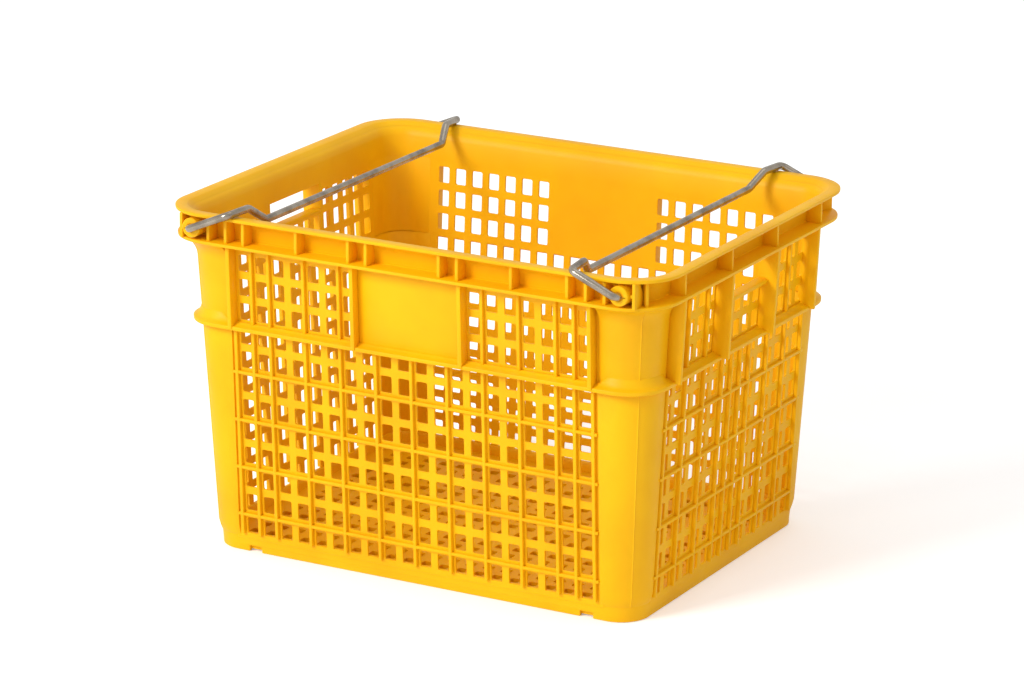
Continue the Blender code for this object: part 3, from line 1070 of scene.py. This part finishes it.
@dataclass
class Bail(Part):
    """Round steel bar bent into a bail: two pivots, two cranked arms and a long straight bar."""

    radius: float = 3.5
    pivot: tuple[float, float] = (213.5, 306.0)
    half_path: tuple[tuple[float, float, float], ...] = (
        (0.0, 186.0, 0.0),
        (0.0, 204.2, 0.0),
        (-42.5, 204.2, 18.1),
        (-45.5, 175.0, 18.6),
        (-52.0, 156.0, 5.0),
    )
    bends: tuple[float, ...] = (4.9, 6.0, 7.0, 7.0)
    sides: int = 20
    steps: int = 8

    def corners(self) -> list[Vector]:
        """Corners of the bar's centre line on the right of the crate, front to back."""
        near = [Vector((self.pivot[0] + x, -y, self.pivot[1] + z)) * MM for x, y, z in self.half_path]
        return near + [Vector((point.x, -point.y, point.z)) for point in reversed(near)]

    def build(self) -> None:
        """Bend the right bail from a straight bar and mirror it to the left."""
        piece = Workpiece("bail_bar_right")
        piece.edit()
        corners = self.corners()
        radii = [bend * MM for bend in self.bends + self.bends[::-1]]
        bpy.ops.mesh.primitive_circle_add(vertices=self.sides, radius=self.radius * MM, fill_type="NGON")
        bpy.ops.transform.rotate(value=math.radians(90.0), orient_axis="X", center_override=(0, 0, 0))
        bpy.ops.transform.translate(value=corners[0])
        here = corners[0]
        for index in range(1, len(corners) - 1):
            back = (corners[index - 1] - corners[index]).normalized()
            ahead = (corners[index + 1] - corners[index]).normalized()
            half = back.angle(ahead) / 2.0
            reach = radii[index - 1] / math.tan(half)
            start = corners[index] + back * reach
            bpy.ops.mesh.extrude_region_move(TRANSFORM_OT_translate={"value": start - here})
            centre = corners[index] + (back + ahead).normalized() * (radii[index - 1] / math.sin(half))
            axis = ahead.cross(-back).normalized()
            bpy.ops.mesh.spin(
                steps=self.steps, angle=math.pi - 2.0 * half, center=centre, axis=axis, dupli=False
            )
            here = corners[index] + ahead * reach
        bpy.ops.mesh.extrude_region_move(TRANSFORM_OT_translate={"value": corners[-1] - here})
        piece.face_outwards()
        piece.leave()
        piece.soften(0.0)
        twin = piece.copy("bail_bar_left")
        twin.mirror(True, False)
        self.place(piece, ["bail_right"], "right_bail", Slot.STEEL)
        self.place(twin, ["bail_left"], "left_bail", Slot.STEEL)


# --------------------------------------------------------------------------- studio


@dataclass(frozen=True)
class StudioCamera:
    """Camera on the crate's front right, a little above its rim."""

    azimuth: float = 28.066
    elevation: float = 16.649
    roll: float = 0.657
    place: tuple[float, float, float] = (1.88472, -3.41010, 1.36430)
    lens: float = 157.68
    shift: tuple[float, float] = (-0.0614, -0.0174)

    def build(self) -> None:
        """Create the camera and make it the scene's own."""
        azimuth, elevation, roll = (math.radians(v) for v in (self.azimuth, self.elevation, self.roll))
        back = Vector(
            (
                math.sin(azimuth) * math.cos(elevation),
                -math.cos(azimuth) * math.cos(elevation),
                math.sin(elevation),
            )
        )
        level = Vector((math.cos(azimuth), math.sin(azimuth), 0.0))
        upright = back.cross(level)
        right = level * math.cos(roll) + upright * math.sin(roll)
        up = upright * math.cos(roll) - level * math.sin(roll)
        data = bpy.data.cameras.new("studio_camera")
        data.lens = self.lens
        data.sensor_width = 36.0
        data.shift_x, data.shift_y = self.shift
        data.clip_end = 50.0
        camera = bpy.data.objects.new("studio_camera", data)
        matrix = Matrix((right, up, back)).transposed().to_4x4()
        matrix.translation = Vector(self.place)
        camera.matrix_world = matrix
        bpy.context.scene.collection.objects.link(camera)
        bpy.context.scene.camera = camera


@dataclass(frozen=True)
class AreaLamp:
    """One soft square lamp aimed at the crate."""

    name: str
    place: tuple[float, float, float]
    size: float
    power: float
    colour: tuple[float, float, float] = (1.0, 1.0, 1.0)
    target: tuple[float, float, float] = (0.0, 0.0, 0.18)

    def build(self) -> None:
        """Create the lamp."""
        data = bpy.data.lights.new(self.name, "AREA")
        data.size = self.size
        data.energy = self.power
        data.color = self.colour
        lamp = bpy.data.objects.new(self.name, data)
        lamp.location = self.place
        aim = Vector(self.target) - Vector(self.place)
        lamp.rotation_euler = aim.to_track_quat("-Z", "Y").to_euler()
        bpy.context.scene.collection.objects.link(lamp)


@dataclass(frozen=True)
class Studio:
    """White floor, white surroundings and soft lamps."""

    floor_size: float = 30.0
    floor_shade: float = 0.97
    floor_glow: float = 0.28
    surround: float = 1.0
    level_light: float = 0.82
    zenith_light: float = 0.6

    def build(self) -> None:
        """Create the floor, the surroundings and the lamps."""
        bpy.ops.object.select_all(action="DESELECT")
        bpy.ops.mesh.primitive_plane_add(size=self.floor_size, location=(0.0, 0.0, -0.0004))
        floor = bpy.context.active_object
        floor.name = "studio_floor"
        material, nodes, links, shader = new_material("studio_white")
        shader.inputs["Base Color"].default_value = (self.floor_shade,) * 3 + (1.0,)
        shader.inputs["Roughness"].default_value = 0.9
        shader.inputs["Emission Color"].default_value = (1.0, 1.0, 1.0, 1.0)
        path = nodes.new("ShaderNodeLightPath")
        glow = nodes.new("ShaderNodeMath")
        glow.operation = "MULTIPLY"
        glow.inputs[1].default_value = self.floor_glow
        links.new(path.outputs["Is Camera Ray"], glow.inputs[0])
        links.new(glow.outputs["Value"], shader.inputs["Emission Strength"])
        floor.data.materials.append(material)
        world = bpy.data.worlds.new("studio_world")
        bpy.context.scene.world = world
        world.use_nodes = True
        self.surroundings(world.node_tree)
        lamps = (
            AreaLamp("key", (-1.3, -3.0, 2.2), 1.2, 88.0),
            AreaLamp("top", (0.2, 0.3, 2.8), 1.6, 6.0),
        )
        for lamp in lamps:
            lamp.build()

    def surroundings(self, tree: bpy.types.NodeTree) -> None:
        """White where the camera sees it, and a dimmer light on the part that fades overhead."""
        nodes, links = tree.nodes, tree.links
        background = nodes["Background"]
        background.inputs["Color"].default_value = (1.0, 1.0, 1.0, 1.0)
        direction = nodes.new("ShaderNodeTexCoord")
        parts = nodes.new("ShaderNodeSeparateXYZ")
        links.new(direction.outputs["Generated"], parts.inputs["Vector"])
        fade = nodes.new("ShaderNodeMapRange")
        fade.inputs["To Min"].default_value = self.level_light
        fade.inputs["To Max"].default_value = self.zenith_light
        links.new(parts.outputs["Z"], fade.inputs["Value"])
        path = nodes.new("ShaderNodeLightPath")
        choose = nodes.new("ShaderNodeMix")
        choose.inputs["B"].default_value = self.surround
        links.new(path.outputs["Is Camera Ray"], choose.inputs["Factor"])
        links.new(fade.outputs["Result"], choose.inputs["A"])
        links.new(choose.outputs["Result"], background.inputs["Strength"])


def main() -> None:
    """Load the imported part, model every piece over it and set the studio."""
    logging.basicConfig(level=logging.INFO, format="%(name)s %(message)s")
    for item in list(bpy.data.objects):
        bpy.data.objects.remove(item, do_unlink=True)
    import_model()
    shell = Shell()
    plastic = MouldedPlastic().build()
    steel = ZincRod().build()
    parts: list[Part] = [
        BaseMoulding(shell, plastic),
        FloorGrid(shell, plastic),
        LatticeWall(shell, plastic),
        EndWall(shell, plastic),
        CornerPosts(shell, plastic),
        Ledge(shell, plastic),
        RimFlanges(shell, plastic),
        Bosses(shell, plastic),
        Bail(shell, steel),
    ]
    for part in parts:
        part.build()
    bpy.context.scene.view_settings.view_transform = "Standard"
    StudioCamera().build()
    Studio().build()


if __name__ == "__main__":
    main()
